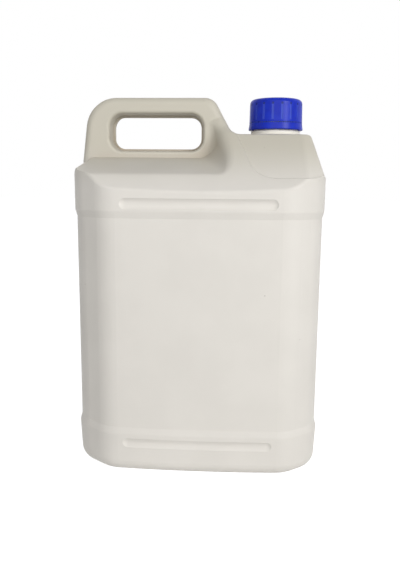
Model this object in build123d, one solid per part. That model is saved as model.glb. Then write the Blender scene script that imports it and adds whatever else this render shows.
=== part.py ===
"""Five litre blow-moulded jug with a through handle, a screw cap and a tamper band.

Millimetres, +Z up. The origin is on the floor under the middle of the base and the front looks along -Y.
The moulding is made twice from the same values, once at its skin and once a wall deeper, and the second
is taken from the first, so the body, its handle and its shoulder are all hollow.
"""
import os
from math import atan2, cos, degrees, hypot, radians, sin, tan

from build123d import *

# Body of the moulding
jug_width = 187.0
jug_depth = 134.0
wall = 1.5
face_crown = 2.5
handle_corner_run = 27.2
handle_corner_drop = 21.3
neck_corner_run = 23.5
neck_corner_drop = 18.4
corner_round = 28.0
base_round = 10.0
base_taper = 2.8

# Heights of the body, one above the other
base_zone_height = 31.2
step_rise = 5.0
panel_height = 156.0
panel_sink = 1.4
step_round = 4.0
band_height = 14.1

# Base push-up
push_up_margin = 17.0
push_up_depth = 2.2
push_up_lean = 40.0

# Long grooves on the front and back
groove_half_length = 56.3
groove_width = 8.0
groove_depth = 1.5
lower_groove_drop = 7.0
upper_groove_rise = 5.4

# Shoulder
deck_rise = 42.1
deck_margin = 7.6
deck_end_margin = 6.7
deck_corner_margin = 13.0
crease_round = 3.5
ridge_spare = 2.5
rim_spare = 8.5

# Sunk facet round the neck end of the shoulder
facet_sink = 1.0
facet_foot_rise = 9.5
facet_length = 51.7
facet_edge_lean = 24.0
facet_ramp = 35.0
facet_ledge = 45.0
facet_edge_round = 36.0
facet_corner_round = 9.0
deck_edge_round = 4.0

# Handle
handle_thickness = 30.0
handle_end_step = 1.2
handle_root = 4.0
handle_end_lean = 7.0
handle_back_round = 24.0
handle_front_round = 11.0
handle_edge_round = 6.0
leg_from_neck = 33.1
leg_lean = 28.4
leg_foot_round = 10.0
leg_foot_run = 10.0
leg_foot_sink = 0.3

# Hand hole through the handle
hole_height = 24.0
hole_sill = 6.9
grip_height = 14.2
front_leg_width = 24.6
back_leg_width = 25.5
hole_corner_round = 8.0
hole_draft = 4.0
hole_rim_round = 2.2
flash_width = 1.3
flash_thickness = 1.4

# Pocket beside the handle
roof_rise = 12.3
roof_angle = 17.3
flank_gap = 10.4
flank_draft = 22.0
pocket_floor_round = 12.0
pocket_leg_round = 7.0
pocket_rim_round = 9.0

# Bevel at the handle end of the shoulder
bevel_rise = 10.7
bevel_lean = 36.0
bevel_round = 11.0

# Neck
neck_from_end = 35.7
neck_radius = 17.4
neck_wall = 2.4
lip_height = 4.7
lip_round = 0.7
collar_step = 1.6
collar_length = 3.6
collar_round = 0.8
collar_foot_round = 1.5
bead_step = 1.1
bead_gap = 0.5
bead_height = 1.6
bead_round = 0.6

# Screw thread, one start, right-handed
thread_pitch = 4.0
thread_depth = 1.05
thread_foot = 1.7
thread_crest = 0.8
thread_turns = 1.75
thread_start = 3.0
thread_sink = 0.4
thread_gap = 0.3

# Cap
cap_wall = 1.6
cap_top_thickness = 1.6
cap_draft = 1.0
cap_edge_round = 3.5
flute_count = 18
flute_width = 1.1
flute_depth = 0.45
flute_foot_gap = 1.4
flute_top_gap = 3.4

# Liner pressed into the cap
liner_thickness = 1.0
liner_gap = 0.3
seal_gap = 0.1

# Tamper band
band_gap = 0.6
tamper_height = 5.6
tamper_wall = 1.6
tamper_flare = 0.7
tamper_foot_round = 0.6
tamper_lip_gap = 0.4
tamper_lip_height = 1.4
bridge_count = 72
bridge_width = 0.75
bridge_height = 0.7
bridge_thickness = 0.8
bridge_gap = 0.12

# How far a cutting tool runs past what it cuts, and how near counts as touching
overrun = 20.0
touch = 0.02

# How a round bar or a block is placed: on its foot, about its own axis
on_foot = (Align.CENTER, Align.CENTER, Align.MIN)
beside_foot = (Align.MIN, Align.CENTER, Align.MIN)

# Shares of an edge at which it is tested
quarter_shares = (0.25, 0.5, 0.75)

# Levels and lines of the body, worked out from the values above
half_width = jug_width / 2
half_depth = jug_depth / 2
half_handle = handle_thickness / 2
handle_edge_x = handle_corner_run - half_width
neck_edge_x = half_width - neck_corner_run
front_x = (handle_edge_x + neck_edge_x) / 2
far_x = half_width + overrun
far_y = half_depth + overrun
panel_foot_z = base_zone_height + step_rise
panel_top_z = panel_foot_z + panel_height
band_z = panel_top_z + step_rise
crease_z = band_z + band_height
deck_z = crease_z + deck_rise
step_lean = degrees(atan2(panel_sink, step_rise))
lower_groove_z = base_zone_height - lower_groove_drop
upper_groove_z = band_z + upper_groove_rise

# Neck, and the deck that leaves a margin round its collar
neck_x = half_width - neck_from_end
collar_radius = neck_radius + collar_step
bead_radius = neck_radius + bead_step
bore_radius = neck_radius - neck_wall
slope_angle = degrees(atan2(deck_rise, half_depth - collar_radius - deck_margin))

# Sunk facet, whose end and corners lean in to the edge of the deck
slope_up = 90 - slope_angle
facet_foot_z = crease_z + facet_foot_rise
facet_rise = deck_rise - facet_foot_rise
facet_edge_x = half_width - facet_length
deck_end_x = neck_x + collar_radius + deck_end_margin
end_lean = degrees(atan2(half_width - facet_sink - deck_end_x, facet_rise))
corner_length = hypot(neck_corner_run, neck_corner_drop)
corner_out_x = neck_corner_drop / corner_length
corner_out_y = neck_corner_run / corner_length
corner_x = half_width - neck_corner_run / 2
corner_y = half_depth - face_crown - neck_corner_drop / 2
corner_reach = corner_x * corner_out_x + corner_y * corner_out_y - facet_sink
deck_corner_reach = neck_x * corner_out_x + collar_radius + deck_corner_margin
corner_lean = degrees(atan2(corner_reach - deck_corner_reach, facet_rise))

# Pocket and the two legs of the handle
roof_crease_z = crease_z + roof_rise
roof_crease_y = half_depth - roof_rise / tan(radians(slope_angle))
leg_foot_x = neck_x - leg_from_neck
hole_right = leg_foot_x - front_leg_width
hole_left = back_leg_width - half_width
flank_x = hole_right + flank_gap


def lean_run(rise, lean):
    """Sideways run of a face that leans by some degrees from upright over a rise."""
    return rise * tan(radians(lean))


def slope_z(y, inset):
    """Height of the shoulder's long slope at a distance y from the middle plane."""
    rise = (half_depth - abs(y)) * tan(radians(slope_angle))
    return crease_z + rise - inset / cos(radians(slope_angle))


def slope_y(z, inset):
    """Distance from the middle plane at which the shoulder's long slope has a height."""
    fall = z - crease_z + inset / cos(radians(slope_angle))
    return half_depth - fall / tan(radians(slope_angle))


def roof_z(y, inset):
    """Height of the pocket's floor at a distance y from the middle plane."""
    rise = (roof_crease_y - abs(y)) * tan(radians(roof_angle))
    return roof_crease_z + rise - inset / cos(radians(roof_angle))


def flank_at(y, inset):
    """Place along X of the pocket's end wall at a distance y from the middle plane."""
    return flank_x + lean_run(abs(y) - half_handle, flank_draft) + inset / cos(radians(flank_draft))


def leg_at(z, inset):
    """Place along X of the handle's front leg, on its outer side, at a height."""
    return leg_foot_x - lean_run(z - deck_z, leg_lean) - inset / cos(radians(leg_lean))


# Heights of the handle, from the floor of the pocket up
ridge_top_z = slope_z(half_handle, 0) + ridge_spare
rim_top_z = ridge_top_z + rim_spare
handle_foot_z = roof_z(half_handle, 0) - handle_root
hole_low_z = roof_z(half_handle, 0) + hole_sill
hole_high_z = hole_low_z + hole_height
handle_top_z = hole_high_z + grip_height
top_z = handle_top_z + overrun


def side_face(points, rounds):
    """Outline in X and Z; rounds maps the index of a corner to its radius."""
    face = make_face(Polyline(*points, close=True))
    for index, radius in rounds.items():
        corner = face.vertices().sort_by_distance(points[index])[0]
        face = fillet(corner, radius)
    return Plane.XZ * face


def end_prism(points):
    """Solid of an outline in Y and Z, run along X past both ends of the jug."""
    face = make_face(Polyline(*points, close=True))
    return extrude(Plane.YZ * face, far_x, both=True)


def edges_where(solid, test):
    """Edges of a solid whose middle and both quarter points pass a test."""
    return [e for e in solid.edges() if all(test(e @ share) for share in quarter_shares)]


def plan(inset, z):
    """Body outline seen from above: crowned front and back, cut and rounded corners."""
    edge_y = half_depth - face_crown
    neck_y = edge_y - neck_corner_drop
    handle_y = edge_y - handle_corner_drop
    front = ThreePointArc((handle_edge_x, -edge_y), (front_x, -half_depth), (neck_edge_x, -edge_y))
    back = ThreePointArc((neck_edge_x, edge_y), (front_x, half_depth), (handle_edge_x, edge_y))
    right = Polyline((neck_edge_x, -edge_y), (half_width, -neck_y), (half_width, neck_y),
                     (neck_edge_x, edge_y))
    left = Polyline((handle_edge_x, edge_y), (-half_width, handle_y), (-half_width, -handle_y),
                    (handle_edge_x, -edge_y))
    face = make_face([*front.edges(), *right.edges(), *back.edges(), *left.edges()])
    face = fillet(face.vertices(), corner_round)
    if inset:
        face = offset(face, -inset)
    return Pos(0, 0, z) * face


def column(inset):
    """Upright body with its sunk label panel and its rounded base edge."""
    body = extrude(plan(inset, base_zone_height), inset - base_zone_height, taper=base_taper)
    body += extrude(plan(inset, base_zone_height), step_rise, taper=step_lean)
    body += extrude(plan(inset + panel_sink, panel_foot_z), panel_height)
    body += extrude(plan(inset, band_z), -step_rise, taper=step_lean)
    body += extrude(plan(inset, band_z), ridge_top_z - band_z)
    base_edges = edges_where(body, lambda p: p.Z < inset + touch)
    body = fillet(base_edges, base_round - inset)
    step_edges = edges_where(body, lambda p: min(abs(p.Z - base_zone_height), abs(p.Z - band_z)) < touch)
    return fillet(step_edges, step_round - inset)


def ridge(inset, top):
    """Space under the two long slopes of the shoulder, flat on top at a height above the handle's root."""
    half_top = slope_y(top, inset)
    low = slope_z(far_y, inset)
    return end_prism([(-far_y, -overrun), (far_y, -overrun), (far_y, low), (half_top, top),
                      (-half_top, top), (-far_y, low)])


def hole_face(margin):
    """Outline of the hand hole in the middle plane, grown by a margin."""
    left = hole_left - margin
    right = hole_right + margin
    low = hole_low_z - margin
    high = hole_high_z + margin
    face = side_face([(left, low), (right, low), (right, high), (left, high)], {})
    return fillet(face.vertices(), hole_corner_round + margin)


def handle_plate(inset):
    """Handle as one upright plate with soft edges and the drafted hand hole through it."""
    half = half_handle - inset
    top = handle_top_z - inset
    end_x = -half_width + handle_end_step + inset / cos(radians(handle_end_lean))
    end_top_x = end_x + lean_run(top - handle_foot_z, handle_end_lean)
    step_z = deck_z - inset - leg_foot_sink
    leg_x = leg_at(step_z, inset)
    step_x = leg_x + leg_foot_run
    outline = [(end_x, handle_foot_z), (end_top_x, top), (leg_at(top, inset), top), (leg_x, step_z),
               (step_x, step_z), (step_x, handle_foot_z)]
    face = side_face(outline, {1: handle_back_round - inset, 2: handle_front_round - inset,
                               3: leg_foot_round + inset})
    plate = extrude(face, half, both=True)
    soft = edges_where(plate, lambda p: abs(p.Y) > half - touch and p.Z > handle_foot_z + touch
                       and p.X < step_x - touch)
    plate = fillet(soft, handle_edge_round - inset)
    margin = flash_width + inset
    plate -= extrude(hole_face(margin), half + overrun, both=True, taper=-hole_draft)
    flare = margin + lean_run(half, hole_draft) + touch

    def on_rim(p):
        across = hole_left - flare < p.X < hole_right + flare
        return across and hole_low_z - flare < p.Z < hole_high_z + flare and abs(p.Y) > half - touch

    return fillet(edges_where(plate, on_rim), hole_rim_round - inset)


def hole_flash():
    """Thin trimmed web that is left all round the hand hole where the mould halves met."""
    web = hole_face(flash_width + wall / 2) - hole_face(0)
    return extrude(web, flash_thickness / 2, both=True)


def pocket(inset, side):
    """Space cut away beside the handle, on the front (side -1) or the back, with soft inner corners."""
    low = roof_z(far_y, inset)
    middle = half_handle - inset
    space = end_prism([(0, roof_z(0, inset)), (side * far_y, low), (side * far_y, top_z), (0, top_z)])
    near_x = flank_at(middle, inset)
    wide_x = flank_at(far_y, inset)
    left = make_face(Polyline((-far_x, 0), (flank_at(0, inset), 0), (wide_x, side * far_y),
                              (-far_x, side * far_y), close=True))
    space &= extrude(left, top_z)

    def on_floor(p):
        return max(abs(p.Z - roof_z(p.Y, inset)), abs(p.X - flank_at(p.Y, inset))) < touch

    space = fillet(edges_where(space, on_floor), pocket_floor_round + inset)
    beside = make_face(Polyline((-far_x, side * middle), (near_x, side * middle), (wide_x, side * far_y),
                                (-far_x, side * far_y), close=True))
    corner = beside.vertices().sort_by_distance((near_x, side * middle))[0]
    return space & extrude(fillet(corner, pocket_leg_round + inset), top_z)


def shoulder(inset):
    """Space under the long slopes with the pocket taken out and the pocket's rim rounded."""
    top = rim_top_z - inset
    body = ridge(inset, top) - [pocket(inset, side) for side in (-1, 1)]

    def on_rim(p):
        on_slope = abs(p.Z - slope_z(p.Y, inset)) < touch and crease_z < p.Z < top - touch
        return on_slope and abs(p.X) < far_x - touch

    return fillet(edges_where(body, on_rim), pocket_rim_round - inset)


def looking(point, level, rise, inset):
    """Plane through a point that looks along a level way and up by some degrees, drawn in by an inset."""
    outward = level * cos(radians(rise)) + Vector(0, 0, sin(radians(rise)))
    return Plane(point - outward * inset, z_dir=outward)


def facet_block(sink, slope_rise, corner_rise, end_rise, high, inset):
    """Neck end of the shoulder inside five leaning faces that stand on the facet's foot."""
    low = facet_foot_z - overrun
    block = Pos(0, 0, low) * Box(2 * far_x, 2 * far_y, high - low, align=on_foot)
    planes = [looking(Vector(half_width - sink, 0, facet_foot_z), Vector(1, 0, 0), end_rise, inset)]
    for side in (-1, 1):
        slope = Vector(0, side * slope_y(facet_foot_z, sink), facet_foot_z)
        planes.append(looking(slope, Vector(0, side, 0), slope_rise, inset))
        level = Vector(corner_out_x, side * corner_out_y, 0)
        corner = Vector(corner_x, side * corner_y, facet_foot_z) - level * sink
        planes.append(looking(corner, level, corner_rise, inset))
    for plane in planes:
        block = split(block, plane, keep=Keep.BOTTOM)
    return block


def facet_core(inset):
    """Sunk facet, leaning end and leaning corners, with soft hips and a soft rim round the deck."""
    top = deck_z - inset
    block = facet_block(facet_sink, slope_up, corner_lean, end_lean, top, inset)
    foot = facet_foot_z - overrun
    hips = edges_where(block, lambda p: p.X > -far_x + touch and foot + touch < p.Z < top - touch)
    block = fillet(hips, facet_corner_round - inset)
    rim = edges_where(block, lambda p: p.Z > top - touch and p.X > -far_x + touch)
    return fillet(rim, deck_edge_round - inset)


def facet_edge(side, inset):
    """Plane of the ramp down to the facet along its leaning edge, on the front (side -1) or the back."""
    along = Vector(-tan(radians(facet_edge_lean)), -side / tan(radians(slope_angle)), 1)
    outward = Vector(0, side * sin(radians(slope_angle)), cos(radians(slope_angle)))
    across = along.cross(outward).normalized() * -side
    look = outward * cos(radians(facet_ramp)) + across * sin(radians(facet_ramp))
    foot = Vector(facet_edge_x, side * slope_y(facet_foot_z, 0), facet_foot_z)
    return Plane(foot - look * inset, z_dir=look)


def facet_cut(inset):
    """Skin taken off the neck end of the shoulder, down a shallow ramp to the sunk facet."""
    core = facet_core(inset)
    outer = facet_block(0, slope_up + facet_ramp, facet_ledge, facet_ledge, top_z, inset)
    low = facet_foot_z - overrun
    skin = []
    for side in (-1, 1):
        edge = facet_edge(side, inset)
        half = Pos(0, side * far_y / 2, low) * Box(2 * far_x, far_y, top_z - low, align=on_foot)
        half = split(half, edge, keep=Keep.TOP) - outer
        foot = looking(Vector(0, side * slope_y(facet_foot_z, 0), facet_foot_z), Vector(0, side, 0),
                       slope_up + facet_ramp, inset)

        def on_foot_corner(p):
            return max(abs(edge.to_local_coords(p).Z), abs(foot.to_local_coords(p).Z)) < touch

        half = fillet(edges_where(half, on_foot_corner), facet_edge_round + inset)
        skin.append(half - core)
        end = Pos(neck_x, side * far_y / 2, low) * Box(far_x, far_y, top_z - low, align=beside_foot)
        skin.append(end - outer - core)
    return skin


def deck_cut(inset):
    """Space above the deck that carries the neck, as far as the handle's front leg."""
    low = deck_z - inset
    outline = [(leg_at(low, inset), low), (far_x, low), (far_x, top_z), (leg_at(top_z, inset), top_z)]
    return extrude(side_face(outline, {0: leg_foot_round + inset}), far_y, both=True)


def groove(inset, side, z):
    """Round-ended groove that follows the crown of the front (side -1) or the back (side 1)."""
    radius = (groove_width ** 2 / 4 + groove_depth ** 2) / (2 * groove_depth)
    half_chord = neck_edge_x - front_x
    crown_radius = (half_chord ** 2 + face_crown ** 2) / (2 * face_crown)
    path_radius = crown_radius + radius - groove_depth
    middle_y = half_depth - crown_radius + path_radius
    reach = groove_half_length - groove_width / 2
    end_y = half_depth - crown_radius + (path_radius ** 2 - reach ** 2) ** 0.5
    ends = [(front_x - reach, side * end_y, z), (front_x + reach, side * end_y, z)]
    path = ThreePointArc(ends[0], (front_x, side * middle_y, z), ends[1])
    cutter = sweep(Plane(path @ 0, z_dir=path % 0) * Circle(radius + inset), path)
    for end in ends:
        cutter += Pos(*end) * Sphere(radius + inset)
    return cutter


def push_up(inset):
    """Shallow hollow under the base, so that the jug stands on a rim."""
    return extrude(plan(push_up_margin - inset, inset), push_up_depth, taper=push_up_lean)


def grip_slot(inset):
    """Space between the two sides of the pocket, cleared down to the sill before the handle fills it."""
    low = roof_z(half_handle, 0)
    slot = side_face([(-far_x, low), (flank_x, low), (flank_x, top_z), (-far_x, top_z)], {})
    return extrude(slot, half_handle - inset, both=True)


def end_bevel(inset):
    """Wedge taken off the handle end of the shoulder, so that it leans in to the handle's root."""
    end_x = -half_width + inset
    rise = inset * tan(radians(bevel_lean / 2))
    edge_z = crease_z + bevel_rise - rise
    top_x = end_x + lean_run(top_z - edge_z, bevel_lean)
    region = [(end_x, edge_z), (top_x, top_z), (-far_x, top_z), (-far_x, crease_z), (end_x, crease_z)]
    return extrude(side_face(region, {0: bevel_round - inset}), far_y, both=True)


def moulding(inset):
    """Whole blown form, its skin drawn in by an inset."""
    top = ridge_top_z - inset
    body = column(inset) & ridge(inset, top)
    creases = edges_where(body, lambda p: abs(p.Z - slope_z(p.Y, inset)) < touch and p.Z < top - touch)
    body = fillet(creases, crease_round - inset)
    body &= shoulder(inset)
    body -= facet_cut(inset)
    body -= deck_cut(inset)

    def on_leg(p):
        return max(abs(p.Z - slope_z(p.Y, inset)), abs(p.X - leg_at(p.Z, inset))) < touch

    body = fillet(edges_where(body, on_leg), handle_edge_round - inset)
    body -= end_bevel(inset)
    body -= grip_slot(inset)
    body += handle_plate(inset)
    body -= push_up(inset)
    for side in (-1, 1):
        body -= groove(inset, side, lower_groove_z)
        body -= groove(inset, side, upper_groove_z)
    return body


def rings(solid, radius, z):
    """Round edges of a solid about its own axis, by radius and height."""
    return [e for e in solid.edges().filter_by(GeomType.CIRCLE)
            if abs(e.radius - radius) < touch and abs((e @ 0).Z - z) < touch]


def tube(radius, low, high):
    """Upright round bar about Z between two heights."""
    return Pos(0, 0, low) * Cylinder(radius, high - low, align=on_foot)


def thread(root, depth, z, turns):
    """Thread ridge about Z that starts at a height; a negative depth makes an inside thread."""
    sink = thread_sink if depth > 0 else -thread_sink
    ridge_face = make_face(Polyline((root - sink, -thread_foot / 2), (root, -thread_foot / 2),
                                    (root + depth, -thread_crest / 2), (root + depth, thread_crest / 2),
                                    (root, thread_foot / 2), (root - sink, thread_foot / 2), close=True))
    path = Helix(thread_pitch, thread_pitch * turns, root)
    return Pos(0, 0, z) * sweep(Plane.XZ * ridge_face, path, is_frenet=True)


# Heights and radii of the closure, from the deck up and from the neck out
collar_top_z = deck_z + collar_length
tamper_z = collar_top_z + band_gap
tamper_top_z = tamper_z + tamper_height
bead_z = tamper_z + tamper_lip_height + bead_gap
bead_top_z = bead_z + bead_height
cap_foot_z = tamper_top_z + bridge_gap
thread_z = cap_foot_z + thread_start
neck_top_z = thread_z + thread_pitch * thread_turns + lip_height
liner_z = neck_top_z + seal_gap
cap_inner_z = liner_z + liner_thickness
cap_top_z = cap_inner_z + cap_top_thickness
cap_bore = neck_radius + thread_depth + thread_gap
cap_radius = cap_bore + cap_wall
cap_top_radius = cap_radius - lean_run(cap_top_z - cap_foot_z, cap_draft)


def neck():
    """Neck that stands on the deck about Z: collar, tamper bead, thread and lip, without its bore."""
    root_z = deck_z - wall
    body = tube(neck_radius, root_z, neck_top_z)
    body = fillet(rings(body, neck_radius, neck_top_z), lip_round)
    collar = tube(collar_radius, root_z, collar_top_z)
    body += fillet(rings(collar, collar_radius, collar_top_z), collar_round)
    bead = tube(bead_radius, bead_z, bead_top_z)
    bead = fillet(rings(bead, bead_radius, bead_z) + rings(bead, bead_radius, bead_top_z), bead_round)
    return body + bead + thread(neck_radius, thread_depth, thread_z, thread_turns)


def jug_body():
    """Hollow moulding with its neck and open mouth."""
    body = moulding(0) + hole_flash() + Pos(neck_x, 0, 0) * neck()
    body = fillet(rings(body, collar_radius, deck_z), collar_foot_round)
    body -= moulding(wall)
    return body - Pos(neck_x, 0, 0) * tube(bore_radius, deck_z - 2 * wall, neck_top_z + overrun)


def screw_cap():
    """Cap shell about the neck's axis with its inside thread and the upright flutes of its skirt."""
    height = cap_top_z - cap_foot_z
    shell = Pos(0, 0, cap_foot_z) * Cone(cap_radius, cap_top_radius, height, align=on_foot)
    shell = fillet(rings(shell, cap_top_radius, cap_top_z), cap_edge_round)
    flute_z = cap_foot_z + flute_foot_gap
    flute_height = height - flute_foot_gap - flute_top_gap
    flute = Rot(0, -cap_draft, 0) * Box(2 * flute_depth, flute_width, flute_height, align=on_foot)
    shell -= [Pos(0, 0, flute_z) * place * flute for place in PolarLocations(cap_radius, flute_count)]
    shell -= tube(cap_bore, cap_foot_z - overrun, cap_inner_z)
    lead = thread_z + thread_pitch / 2
    shell += thread(cap_bore, -thread_depth, lead, thread_turns)
    return Pos(neck_x, 0, 0) * shell


def tamper_band():
    """Band left round the neck below the cap: flared skirt, catch lip under the bead, bridges on top."""
    top = tamper_top_z - bridge_height
    foot_radius = cap_radius + tamper_flare
    band = Pos(0, 0, tamper_z) * Cone(foot_radius, cap_radius, top - tamper_z, align=on_foot)
    band = fillet(rings(band, foot_radius, tamper_z), tamper_foot_round)
    band -= tube(cap_radius - tamper_wall, tamper_z + tamper_lip_height, tamper_top_z + overrun)
    band -= tube(neck_radius + tamper_lip_gap, tamper_z - overrun, tamper_top_z)
    on_inner_foot = (Align.MAX, Align.CENTER, Align.MIN)
    bridge = Box(bridge_thickness, bridge_width, bridge_height + touch, align=on_inner_foot)
    band += [Pos(0, 0, top - touch) * place * bridge for place in PolarLocations(cap_radius, bridge_count)]
    return Pos(neck_x, 0, 0) * band


def cap_liner():
    """Flat sealing disc under the cap's top."""
    disc = tube(cap_bore - liner_gap, liner_z, cap_inner_z)
    return Pos(neck_x, 0, 0) * disc


if __name__ == "__main__":
    os.makedirs("parts", exist_ok=True)
    for make in (cap_liner, tamper_band, screw_cap, jug_body):
        export_step(make(), f"parts/{make.__name__}.step")
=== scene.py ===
"""Looks of a five litre blow-moulded jug with a blue screw cap, in metres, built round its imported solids."""
import logging
from dataclasses import dataclass, field
from enum import Enum
from math import pi, radians
from typing import Any

import bpy
from mathutils import Matrix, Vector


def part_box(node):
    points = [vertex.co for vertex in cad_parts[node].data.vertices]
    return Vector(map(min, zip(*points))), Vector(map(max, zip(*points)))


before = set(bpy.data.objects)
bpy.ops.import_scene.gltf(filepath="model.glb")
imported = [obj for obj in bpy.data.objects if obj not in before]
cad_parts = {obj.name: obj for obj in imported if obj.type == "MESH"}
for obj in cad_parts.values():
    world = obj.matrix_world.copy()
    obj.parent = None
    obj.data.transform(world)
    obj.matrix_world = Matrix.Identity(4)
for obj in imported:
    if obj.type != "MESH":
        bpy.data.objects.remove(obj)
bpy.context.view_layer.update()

log = logging.getLogger("jug")
logging.basicConfig(level=logging.INFO, format="%(name)s: %(message)s")

Colour = tuple[float, float, float]
Corner = tuple[float, float, float]
MIDDLE = 0.5


class Node(Enum):
    """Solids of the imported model."""

    JUG = "jug_body"
    CAP = "screw_cap"
    BAND = "tamper_band"
    LINER = "cap_liner"


def shade(red: int, green: int, blue: int) -> Colour:
    """Turn a colour as a screen shows it into the linear colour of a shader.

    Args:
        red: Red level from 0 to 255.
        green: Green level from 0 to 255.
        blue: Blue level from 0 to 255.

    Returns:
        The linear colour, each part from 0 to 1.
    """
    toe, toe_slope, offset, power = 0.04045, 12.92, 0.055, 2.4
    levels = [level / 255 for level in (red, green, blue)]
    return tuple(v / toe_slope if v <= toe else ((v + offset) / (1 + offset)) ** power for v in levels)


class Wire:
    """Output of a shader node that can be used in sums."""

    def __init__(self, sheet: "ShaderSheet", socket: bpy.types.NodeSocket) -> None:
        """Keep the node sheet and the socket.

        Args:
            sheet: Sheet that new nodes go on.
            socket: Output socket that this wire starts from.
        """
        self.sheet = sheet
        self.socket = socket

    def __add__(self, other: "Wire | float") -> "Wire":
        """Sum of two values.

        Args:
            other: The other value.

        Returns:
            Wire of the result.
        """
        return self.sheet.sum_of("ADD", self, other)

    def __radd__(self, other: float) -> "Wire":
        """Sum with a number on the left.

        Args:
            other: The other value.

        Returns:
            Wire of the result.
        """
        return self.sheet.sum_of("ADD", other, self)

    def __sub__(self, other: "Wire | float") -> "Wire":
        """Difference of two values.

        Args:
            other: The other value.

        Returns:
            Wire of the result.
        """
        return self.sheet.sum_of("SUBTRACT", self, other)

    def __rsub__(self, other: float) -> "Wire":
        """Difference with a number on the left.

        Args:
            other: The other value.

        Returns:
            Wire of the result.
        """
        return self.sheet.sum_of("SUBTRACT", other, self)

    def __mul__(self, other: "Wire | float") -> "Wire":
        """Product of two values.

        Args:
            other: The other value.

        Returns:
            Wire of the result.
        """
        return self.sheet.sum_of("MULTIPLY", self, other)

    def __rmul__(self, other: float) -> "Wire":
        """Product with a number on the left.

        Args:
            other: The other value.

        Returns:
            Wire of the result.
        """
        return self.sheet.sum_of("MULTIPLY", other, self)


class ShaderSheet:
    """Node sheet of one material or of the world."""

    def __init__(self, tree: bpy.types.NodeTree) -> None:
        """Start from an empty tree.

        Args:
            tree: Node tree to fill.
        """
        self.tree = tree
        tree.nodes.clear()

    def add(self, kind: str, settings: dict[str, Any], sockets: dict[str | int, Any]) -> bpy.types.Node:
        """Add one node.

        Args:
            kind: Blender's name of the node's type.
            settings: Properties of the node, set first.
            sockets: Inputs by name or number, each a wire or a plain value.

        Returns:
            The new node.
        """
        node = self.tree.nodes.new(kind)
        for name, value in settings.items():
            setattr(node, name, value)
        for name, value in sockets.items():
            if isinstance(value, Wire):
                self.tree.links.new(value.socket, node.inputs[name])
            else:
                node.inputs[name].default_value = value
        return node

    def wire(self, node: bpy.types.Node, output: str | int = 0) -> Wire:
        """Start a wire at one of a node's outputs.

        Args:
            node: Node that the wire starts from.
            output: Name or number of the output.

        Returns:
            The wire.
        """
        return Wire(self, node.outputs[output])

    def sum_of(self, operation: str, left: Wire | float, right: Wire | float) -> Wire:
        """Join two values by a Math node.

        Args:
            operation: Operation of the Math node.
            left: First value.
            right: Second value.

        Returns:
            Wire of the result.
        """
        return self.wire(self.add("ShaderNodeMath", {"operation": operation}, {0: left, 1: right}))

    def place(self) -> Wire:
        """Read the place on the piece itself, in metres.

        Returns:
            Wire of the place.
        """
        return self.wire(self.add("ShaderNodeTexCoord", {}, {}), "Object")

    def axes(self, place: Wire) -> list[Wire]:
        """Split a place into its three lengths.

        Args:
            place: Place to split.

        Returns:
            Wires of X, Y and Z.
        """
        split = self.add("ShaderNodeSeparateXYZ", {}, {"Vector": place})
        return [self.wire(split, axis) for axis in "XYZ"]

    def noise(self, place: Wire, grain: float, detail: float = 2.0) -> Wire:
        """Cloudy noise of a given grain.

        Args:
            place: Place that the noise is read at.
            grain: Width of one cloud in metres.
            detail: Number of finer layers.

        Returns:
            Value from 0 to 1, mostly near the middle.
        """
        sockets = {"Vector": place, "Scale": 1 / grain, "Detail": detail, "Roughness": MIDDLE}
        return self.wire(self.add("ShaderNodeTexNoise", {"noise_dimensions": "3D"}, sockets), "Fac")

    def spread(self, value: Wire, low: float, high: float, to_low: float = 0.0, to_high: float = 1.0) -> Wire:
        """Smoothly map a range of a value to another range.

        Args:
            value: Value to map.
            low: Where the range starts.
            high: Where the range ends.
            to_low: Result at its start.
            to_high: Result at its end.

        Returns:
            Wire of the mapped value.
        """
        settings = {"interpolation_type": "SMOOTHSTEP"}
        sockets = {"Value": value, "From Min": low, "From Max": high, "To Min": to_low, "To Max": to_high}
        return self.wire(self.add("ShaderNodeMapRange", settings, sockets))

    def clouds(self, place: Wire, grain: float) -> Wire:
        """Noise with its contrast raised, for patches of two shades.

        Args:
            place: Place that the noise is read at.
            grain: Width of one patch in metres.

        Returns:
            Value from 0 to 1.
        """
        layers, contrast = 3.0, 0.15
        return self.spread(self.noise(place, grain, layers), MIDDLE - contrast, MIDDLE + contrast)

    def within(self, value: Wire, low: float, high: float, edge: float) -> Wire:
        """Share of 1 inside a range and 0 outside it.

        Args:
            value: Value to test.
            low: Where the range starts.
            high: Where the range ends.
            edge: How far the share takes to fade, inside the range.

        Returns:
            Wire of the share.
        """
        return self.spread(value, low, low + edge) * self.spread(value, high, high - edge)

    def blend(self, share: Wire, first: Colour | Wire, second: Colour | Wire) -> Wire:
        """Mix two colours.

        Args:
            share: Share of the second colour.
            first: Colour at share 0.
            second: Colour at share 1.

        Returns:
            Wire of the mixed colour.
        """
        ends = [c if isinstance(c, Wire) else (*c, 1.0) for c in (first, second)]
        settings = {"data_type": "RGBA", "blend_type": "MIX"}
        node = self.add("ShaderNodeMix", settings, {0: share, 6: ends[0], 7: ends[1]})
        return self.wire(node, 2)

    def bump(self, height: Wire, depth: float, below: Wire | None = None) -> Wire:
        """Bumped normal.

        Args:
            height: Height from 0 to 1.
            depth: Depth in metres of a height of 1.
            below: Normal that this bump is added to.

        Returns:
            Wire of the normal.
        """
        sockets = {"Height": height, "Distance": depth, "Strength": 1.0}
        if below is not None:
            sockets["Normal"] = below
        return self.wire(self.add("ShaderNodeBump", {}, sockets), "Normal")

    def surface(self, sockets: dict[str, Any]) -> None:
        """End the sheet in one plastic surface.

        Args:
            sockets: Inputs of the surface shader.
        """
        shader = self.add("ShaderNodeBsdfPrincipled", {}, sockets)
        self.add("ShaderNodeOutputMaterial", {}, {"Surface": self.wire(shader)})


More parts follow.
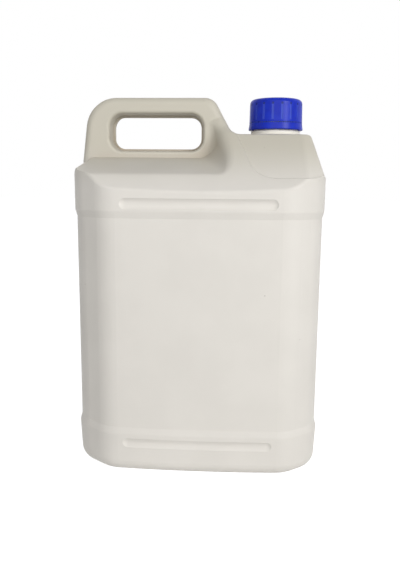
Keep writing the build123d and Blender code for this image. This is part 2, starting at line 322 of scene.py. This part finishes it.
def new_sheet(name: str) -> tuple[bpy.types.Material, ShaderSheet]:
    """Make an empty material.

    Args:
        name: Name of the material.

    Returns:
        The material and its node sheet.
    """
    material = bpy.data.materials.new(name)
    material.use_nodes = True
    return material, ShaderSheet(material.node_tree)


@dataclass(frozen=True)
class JugPlastic:
    """Off-white blown plastic: satin, a little cloudy, darker and creamier towards the top and in the creases
    by the handle as painted shade, with the neck painted paler as painted light.
    """

    body: Colour = shade(226, 222, 215)
    cloud: Colour = shade(223, 219, 212)
    top_painted_shade: Colour = shade(201, 196, 182)
    top_shade_from: float = 0.211
    top_shade_to: float = 0.250
    cloud_grain: float = 0.045
    cloud_sheen: float = 0.06
    grain: float = 0.0011
    grain_sheen: float = 0.1
    grain_depth: float = 0.00003
    wave: float = 0.03
    wave_depth: float = 0.00012
    roughness: float = 0.44
    gloss: float = 0.22
    crease_painted_shade: Colour = shade(164, 150, 132)
    crease_shade_reach: float = 0.035
    crease_shade_open: float = 0.9
    crease_shade_shut: float = 0.3
    crease_shade_share: float = 0.8
    crease_shade_samples: int = 8
    crease_shade_from: float = 0.205
    crease_shade_to: float = 0.215
    crease_shade_full: float = 0.243
    crease_shade_thin: float = 0.262
    crease_shade_rest: float = 0.35
    neck_painted_light: Colour = shade(236, 232, 221)
    neck_edge: float = 0.004
    neck_foot_edge: float = 0.001
    speck: Colour = shade(150, 142, 130)
    speck_gap: float = 0.022
    speck_size: float = 0.0006
    speck_share: float = 0.6
    seam_width: float = 0.0005
    seam_depth: float = 0.00015

    def material(self, neck_start: float, neck_foot: float) -> bpy.types.Material:
        """Make the material.

        Args:
            neck_start: X of the side of the closure that faces the handle.
            neck_foot: Height at which the neck leaves the deck.

        Returns:
            The finished material.
        """
        material, sheet = new_sheet("blown_plastic")
        place = sheet.place()
        along, across, height = sheet.axes(place)
        clouds = sheet.clouds(place, self.cloud_grain)
        colour = sheet.blend(clouds, self.body, self.cloud)
        # painted shade: the colour darkens and warms towards the top, standing in for the dimmer light there
        colour = sheet.blend(sheet.spread(height, self.top_shade_from, self.top_shade_to), colour, self.top_painted_shade)
        settings = {"samples": self.crease_shade_samples}
        # painted shade: ambient occlusion darkens and warms the creases and recesses round the handle and the
        # shoulder
        sky = sheet.add("ShaderNodeAmbientOcclusion", settings, {"Distance": self.crease_shade_reach})
        open_share = sheet.wire(sky, "AO")
        depth = sheet.spread(open_share, self.crease_shade_open, self.crease_shade_shut, 0.0, self.crease_shade_share)
        at_handle = sheet.spread(along, neck_start + self.neck_edge, neck_start)
        low_down = sheet.spread(height, self.crease_shade_full, self.crease_shade_thin, 1.0, self.crease_shade_rest)
        on_shoulder = sheet.spread(height, self.crease_shade_from, self.crease_shade_to)
        colour = sheet.blend(depth * at_handle * on_shoulder * low_down, colour, self.crease_painted_shade)
        # painted light: the neck above its foot is painted paler than the body, lifting it out of the painted
        # top shade and the shade under the band
        neck_light_share = sheet.spread(height, neck_foot, neck_foot + self.neck_foot_edge) * (1 - at_handle)
        colour = sheet.blend(neck_light_share, colour, self.neck_painted_light)
        cells = sheet.add("ShaderNodeTexVoronoi", {}, {"Vector": place, "Scale": 1 / self.speck_gap})
        edge = self.speck_size / self.speck_gap
        specks = sheet.spread(sheet.wire(cells, "Distance"), edge, edge / 2, 0.0, self.speck_share)
        colour = sheet.blend(specks, colour, self.speck)
        seam = sheet.spread(sheet.sum_of("ABSOLUTE", across, 0.0), self.seam_width, self.seam_width / 2)
        grain = sheet.noise(place, self.grain)
        roughness = self.roughness + self.grain_sheen * (grain - MIDDLE)
        normal = sheet.bump(sheet.noise(place, self.wave), self.wave_depth)
        normal = sheet.bump(seam, self.seam_depth, sheet.bump(grain, self.grain_depth, normal))
        sheet.surface({
            "Base Color": colour,
            "Roughness": roughness + self.cloud_sheen * (clouds - MIDDLE),
            "Specular IOR Level": self.gloss,
            "Normal": normal,
        })
        return material


@dataclass(frozen=True)
class CapPlastic:
    """Deep blue moulded plastic, semi-gloss, with a fine grain, painted highlights along its flutes and
    painted shadows at their tops, and paler at its bridges.
    """

    body: Colour = shade(19, 48, 188)
    streak: Colour = shade(14, 39, 174)
    flute_highlight_pale_bridge: Colour = shade(92, 114, 216)
    flute_highlight_bridge_share: float = 0.45
    shadow: Colour = shade(6, 14, 84)
    shadow_share: float = 0.65
    flute_count: int = 18
    flute_width: float = 0.0011
    flute_foot_gap: float = 0.0014
    flute_top_gap: float = 0.0034
    dot_height: float = 0.0016
    bridge_height: float = 0.0007
    edge: float = 0.0002
    streak_grain: float = 0.006
    grain: float = 0.0005
    grain_depth: float = 0.00002
    grain_sheen: float = 0.16
    roughness: float = 0.34
    gloss: float = 0.2

    def material(self, low: Corner, high: Corner) -> bpy.types.Material:
        """Make the material.

        Args:
            low: Lowest corner of the cap's box.
            high: Highest corner of the cap's box.

        Returns:
            The finished material.
        """
        material, sheet = new_sheet("cap_plastic")
        place = sheet.place()
        along, across, height = sheet.axes(place)
        streaks = sheet.clouds(place, self.streak_grain)
        grain = sheet.noise(place, self.grain)
        turn = sheet.sum_of("ARCTAN2", across, along - (low[0] + high[0]) / 2)
        off = (high[0] - low[0]) / 2 * sheet.sum_of("PINGPONG", turn, pi / self.flute_count)
        flute = sheet.spread(off, self.flute_width, self.flute_width / 2)
        flute_top = high[2] - self.flute_top_gap
        flute_foot = low[2] + self.flute_foot_gap
        # painted highlight: the lit flank of each flute is painted as a pale line
        flute_highlight = flute * sheet.within(height, flute_foot, flute_top, self.edge)
        dot = flute * sheet.within(height, flute_top - self.dot_height, flute_top, self.edge)
        bridge = sheet.within(height, low[2] - self.bridge_height, low[2], self.edge)
        colour = sheet.blend(streaks, self.body, self.streak)
        # the pale colour is painted highlight on the flute lines and a paler band on the bridges
        colour = sheet.blend(self.flute_highlight_bridge_share * sheet.sum_of("MAXIMUM", flute_highlight, bridge), colour, self.flute_highlight_pale_bridge)
        sheet.surface({
            # painted shadow: a dark dot where each flute ends at the top
            "Base Color": sheet.blend(self.shadow_share * dot, colour, self.shadow),
            "Roughness": self.roughness + self.grain_sheen * (grain - MIDDLE),
            "Specular IOR Level": self.gloss,
            "Normal": sheet.bump(grain, self.grain_depth),
        })
        return material


@dataclass(frozen=True)
class LinerFoam:
    """White closed-cell foam of the sealing disc."""

    body: Colour = shade(240, 239, 235)
    cell: Colour = shade(226, 225, 220)
    cell_size: float = 0.0006
    cell_depth: float = 0.00005
    cell_contrast: float = 0.1
    roughness: float = 0.8
    cell_sheen: float = 0.1

    def material(self) -> bpy.types.Material:
        """Make the material.

        Returns:
            The finished material.
        """
        material, sheet = new_sheet("liner_foam")
        cells = sheet.noise(sheet.place(), self.cell_size)
        pale = sheet.spread(cells, MIDDLE - self.cell_contrast, MIDDLE + self.cell_contrast)
        sheet.surface({
            "Base Color": sheet.blend(pale, self.cell, self.body),
            "Roughness": self.roughness + self.cell_sheen * cells,
            "Normal": sheet.bump(cells, self.cell_depth),
        })
        return material


@dataclass
class Jug:
    """Blown body of the jug."""

    finish: JugPlastic = field(default_factory=JugPlastic)
    neck_shown: float = 0.0042

    def dress(self) -> None:
        """Give the body its finish, with the neck below the tamper band painted paler as painted light."""
        low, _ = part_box(Node.BAND.value)
        dress_node(Node.JUG, self.finish.material(low[0], low[2] - self.neck_shown))


@dataclass
class Closure:
    """Screw cap, tamper band and liner."""

    finish: CapPlastic = field(default_factory=CapPlastic)
    liner_finish: LinerFoam = field(default_factory=LinerFoam)

    def dress(self) -> None:
        """Give the cap, its band and its liner their finishes."""
        blue = self.finish.material(*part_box(Node.CAP.value))
        dress_node(Node.CAP, blue)
        dress_node(Node.BAND, blue)
        dress_node(Node.LINER, self.liner_finish.material())


def dress_node(node: Node, material: bpy.types.Material) -> None:
    """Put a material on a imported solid.

    Args:
        node: Solid to dress.
        material: Its material.
    """
    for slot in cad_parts[node.value].material_slots:
        slot.material = material
    log.info("%s dressed in %s", node.value, material.name)


@dataclass(frozen=True)
class Viewpoint:
    """Camera of the reference view, about the vertical through the jug's origin."""

    distance: float = 0.49893
    side: float = -0.00023
    height: float = 0.22062
    heading: float = 3.331
    pitch: float = 9.806
    roll: float = 0.451
    focal_pixels: float = 617.4
    image_height: float = 570.0
    sensor: float = 36.0
    near: float = 0.01

    def build(self) -> bpy.types.Object:
        """Make the scene's camera.

        Returns:
            The camera.
        """
        data = bpy.data.cameras.new("viewpoint")
        data.sensor_width = self.sensor
        data.lens = self.focal_pixels / self.image_height * self.sensor
        data.clip_start = self.near
        camera = bpy.data.objects.new("viewpoint", data)
        turn = Matrix.Rotation(radians(self.heading), 4, "Z")
        tilt = Matrix.Rotation(radians(90 - self.pitch), 4, "X")
        roll = Matrix.Rotation(radians(self.roll), 4, "Z")
        stand = Matrix.Translation((self.side, -self.distance, self.height))
        camera.matrix_world = turn @ stand @ tilt @ roll
        bpy.context.scene.collection.objects.link(camera)
        bpy.context.scene.camera = camera
        return camera


@dataclass(frozen=True)
class Lamp:
    """Square soft lamp that looks at the middle of the jug."""

    name: str
    azimuth: float
    rise: float
    size: float
    power: float
    distance: float = 2.5
    aim_height: float = 0.14

    def build(self) -> None:
        """Make the lamp."""
        data = bpy.data.lights.new(self.name, "AREA")
        data.shape = "SQUARE"
        data.size = self.size
        data.energy = self.power
        lamp = bpy.data.objects.new(self.name, data)
        turn = Matrix.Rotation(radians(self.azimuth), 4, "Z")
        tilt = Matrix.Rotation(radians(90 - self.rise), 4, "X")
        away = Matrix.Translation((0, 0, self.distance))
        lamp.matrix_world = Matrix.Translation((0, 0, self.aim_height)) @ turn @ tilt @ away
        bpy.context.scene.collection.objects.link(lamp)
        log.info("%s stands %.1f m away", self.name, self.distance)


@dataclass(frozen=True)
class Studio:
    """White floor, pale surroundings, a soft lamp at the front right and a larger, weaker one in front."""

    floor_reach: float = 6.0
    floor_colour: Colour = (0.7, 0.7, 0.7)
    floor_glow: float = 0.9
    horizon: float = 0.48
    zenith: float = 0.12
    key: Lamp = Lamp("key_lamp", azimuth=42, rise=18, size=0.7, power=27)
    fill: Lamp = Lamp("fill_lamp", azimuth=-2, rise=25, size=2.0, power=22)

    def build(self) -> None:
        """Make the floor, the surroundings and the lamps."""
        self.build_floor()
        self.build_surround()
        self.key.build()
        self.fill.build()
        bpy.context.scene.view_settings.view_transform = "Standard"

    @staticmethod
    def seen(sheet: ShaderSheet) -> Wire:
        """Value of 1 on rays that show the surroundings themselves, and 0 on rays that only gather light.

        Args:
            sheet: Sheet that the nodes go on.

        Returns:
            Wire of the value.
        """
        path = sheet.add("ShaderNodeLightPath", {}, {})
        rays = ("Is Camera Ray", "Is Glossy Ray", "Is Transmission Ray")
        camera, glossy, clear = [sheet.wire(path, ray) for ray in rays]
        return sheet.sum_of("MINIMUM", camera + glossy + clear, 1.0)

    def build_floor(self) -> None:
        """Make the white floor, which keeps the shadow of the jug."""
        mesh = bpy.data.meshes.new("studio_floor")
        reach = self.floor_reach
        corners = [(-reach, -reach, 0), (reach, -reach, 0), (reach, reach, 0), (-reach, reach, 0)]
        mesh.from_pydata(corners, [], [(0, 1, 2, 3)])
        floor = bpy.data.objects.new("studio_floor", mesh)
        bpy.context.scene.collection.objects.link(floor)
        material, sheet = new_sheet("studio_floor")
        matt = sheet.wire(sheet.add("ShaderNodeBsdfDiffuse", {}, {"Color": (*self.floor_colour, 1.0)}))
        glow = sheet.wire(sheet.add("ShaderNodeEmission", {}, {"Strength": self.floor_glow}))
        both = sheet.wire(sheet.add("ShaderNodeAddShader", {}, {0: matt, 1: glow}))
        mixed = sheet.add("ShaderNodeMixShader", {}, {0: self.seen(sheet), 1: matt, 2: both})
        sheet.add("ShaderNodeOutputMaterial", {}, {"Surface": sheet.wire(mixed)})
        mesh.materials.append(material)

    def build_surround(self) -> None:
        """Make the surroundings: white where they are seen, softer as a light."""
        world = bpy.data.worlds.new("studio")
        world.use_nodes = True
        bpy.context.scene.world = world
        sheet = ShaderSheet(world.node_tree)
        white = {"Color": (1.0, 1.0, 1.0, 1.0)}
        strengths = (self.horizon, self.zenith, 1.0)
        skies = [sheet.add("ShaderNodeBackground", {}, white | {"Strength": s}) for s in strengths]
        low, high, shown = [sheet.wire(sky) for sky in skies]
        way = sheet.wire(sheet.add("ShaderNodeTexCoord", {}, {}), "Generated")
        _, _, rise = sheet.axes(way)
        light = sheet.add("ShaderNodeMixShader", {}, {0: sheet.spread(rise, 0.0, 1.0), 1: low, 2: high})
        mixed = sheet.add("ShaderNodeMixShader", {}, {0: self.seen(sheet), 1: sheet.wire(light), 2: shown})
        sheet.add("ShaderNodeOutputWorld", {}, {"Surface": sheet.wire(mixed)})


def main() -> None:
    """Build the studio and dress the jug piece by piece."""
    Viewpoint().build()
    Studio().build()
    Jug().dress()
    Closure().dress()


if __name__ == "__main__":
    main()
